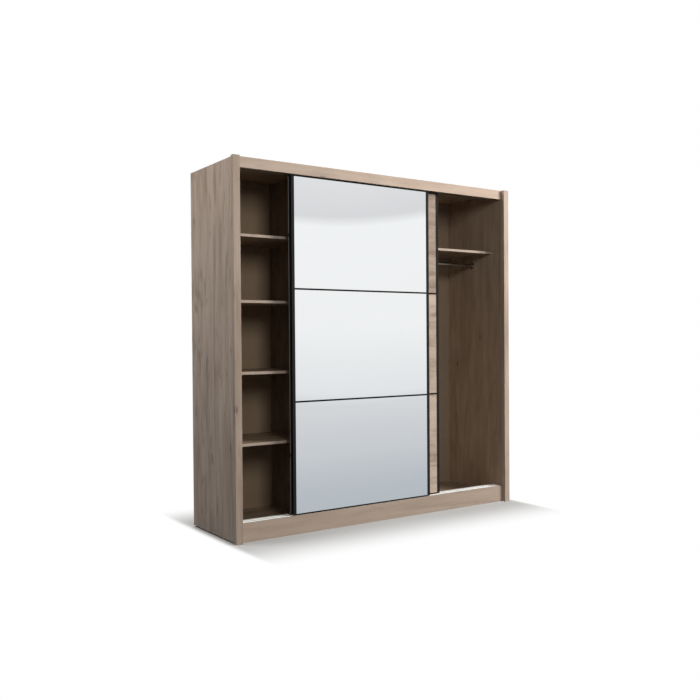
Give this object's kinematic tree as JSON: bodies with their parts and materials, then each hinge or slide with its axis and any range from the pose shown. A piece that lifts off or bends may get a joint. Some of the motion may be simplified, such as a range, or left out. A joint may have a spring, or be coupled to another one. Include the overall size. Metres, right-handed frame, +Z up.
{
  "type": "sliding door wardrobe",
  "caption": "Free-standing oak-decor wardrobe with a shelf column, hanging bays with rails, and a mirrored and an oak sliding door on rollers in a floor and head track.",
  "frame": {"origin": "on the floor under the middle of the wardrobe's overall box", "axes": "+X to the right seen from the front, +Y from the front to the back, +Z up"},
  "size_m": [2.1, 0.58, 2.15],
  "materials": {
    "oak_upright": "greyed oak decor with upright grain, satin melamine",
    "oak_crosswise": "greyed oak decor with crosswise grain, satin melamine",
    "oak_inside": "greyed oak decor inside the carcass, satin melamine",
    "oak_facing": "greyed oak decor facing of the rear door, crosswise grain",
    "carrier_board": "oak decor on the rear of the doors",
    "hardboard": "printed hardboard back",
    "mirror_glass": "silvered glass",
    "black_profile": "black anodised extrusion",
    "track_aluminium": "satin anodised extrusion",
    "rail_steel": "bright chromed steel tube",
    "rail_socket": "chromed zinc casting",
    "wheel_nylon": "pale nylon",
    "black_nylon": "black moulded nylon"
  },
  "bodies": {
    "carcass": {"centre_hat_shelf": "oak_inside", "centre_partition": "oak_inside", "centre_rail": "rail_steel", "centre_rail_socket_left": "rail_socket", "centre_rail_socket_right": "rail_socket", "column_partition": "oak_inside", "column_shelf_1": "oak_inside", "column_shelf_2": "oak_inside", "column_shelf_3": "oak_inside", "column_shelf_4": "oak_inside", "floor_panel": "oak_inside", "floor_track": "track_aluminium", "head_track": "track_aluminium", "left_back_sheet": "hardboard", "left_front_stile": "oak_upright", "left_side_panel": "oak_upright", "plinth": "oak_crosswise", "rear_base_rail": "oak_inside", "right_back_sheet": "hardboard", "right_front_stile": "oak_upright", "right_hat_shelf": "oak_inside", "right_rail": "rail_steel", "right_rail_socket_left": "rail_socket", "right_rail_socket_right": "rail_socket", "right_side_panel": "oak_upright", "top_fascia": "oak_crosswise", "top_panel": "oak_inside", "track_beam": "oak_inside"},
    "mirror_door": {"mirror_door_carrier_board": "carrier_board", "mirror_door_dividing_strip_1": "black_profile", "mirror_door_dividing_strip_2": "black_profile", "mirror_door_foot_profile": "black_profile", "mirror_door_head_profile": "black_profile", "mirror_door_left_handle_profile": "black_profile", "mirror_door_left_head_guide": "black_nylon", "mirror_door_left_roller_housing": "black_nylon", "mirror_door_mirror_1": "mirror_glass", "mirror_door_mirror_2": "mirror_glass", "mirror_door_mirror_3": "mirror_glass", "mirror_door_right_handle_profile": "black_profile", "mirror_door_right_head_guide": "black_nylon", "mirror_door_right_roller_housing": "black_nylon"},
    "oak_door": {"oak_door_carrier_board": "carrier_board", "oak_door_dividing_strip_1": "black_profile", "oak_door_dividing_strip_2": "black_profile", "oak_door_facing_1": "oak_facing", "oak_door_facing_2": "oak_facing", "oak_door_facing_3": "oak_facing", "oak_door_foot_profile": "black_profile", "oak_door_head_profile": "black_profile", "oak_door_left_handle_profile": "black_profile", "oak_door_left_head_guide": "black_nylon", "oak_door_left_roller_housing": "black_nylon", "oak_door_right_handle_profile": "black_profile", "oak_door_right_head_guide": "black_nylon", "oak_door_right_roller_housing": "black_nylon"},
    "mirror_door_left_wheel": {"mirror_door_left_wheel": "wheel_nylon"},
    "mirror_door_right_wheel": {"mirror_door_right_wheel": "wheel_nylon"},
    "oak_door_left_wheel": {"oak_door_left_wheel": "wheel_nylon"},
    "oak_door_right_wheel": {"oak_door_right_wheel": "wheel_nylon"}
  },
  "joints": [
    {"name": "mirror_door_slide", "type": "slide", "parent": "carcass", "child": "mirror_door", "axis": [1, 0, 0], "range_m": [-0.339, 0.628]},
    {"name": "oak_door_slide", "type": "slide", "parent": "carcass", "child": "oak_door", "axis": [1, 0, 0], "range_m": [-0.45, 0.517]},
    {"name": "mirror_door_left_wheel_spin", "type": "hinge", "parent": "mirror_door", "child": "mirror_door_left_wheel", "pos_m": [-0.547, -0.233, 0.1208], "axis": [0, 1, 0], "continuous": true},
    {"name": "mirror_door_right_wheel_spin", "type": "hinge", "parent": "mirror_door", "child": "mirror_door_right_wheel", "pos_m": [0.258, -0.233, 0.1208], "axis": [0, 1, 0], "continuous": true},
    {"name": "oak_door_left_wheel_spin", "type": "hinge", "parent": "oak_door", "child": "oak_door_left_wheel", "pos_m": [-0.436, -0.199, 0.1208], "axis": [0, 1, 0], "continuous": true},
    {"name": "oak_door_right_wheel_spin", "type": "hinge", "parent": "oak_door", "child": "oak_door_right_wheel", "pos_m": [0.369, -0.199, 0.1208], "axis": [0, 1, 0], "continuous": true}
  ],
  "couplings": [
    {"joint": "mirror_door_left_wheel_spin", "follows": "mirror_door_slide", "rad_per_m": 76.923},
    {"joint": "mirror_door_right_wheel_spin", "follows": "mirror_door_slide", "rad_per_m": 76.923},
    {"joint": "oak_door_left_wheel_spin", "follows": "oak_door_slide", "rad_per_m": 76.923},
    {"joint": "oak_door_right_wheel_spin", "follows": "oak_door_slide", "rad_per_m": 76.923}
  ]
}
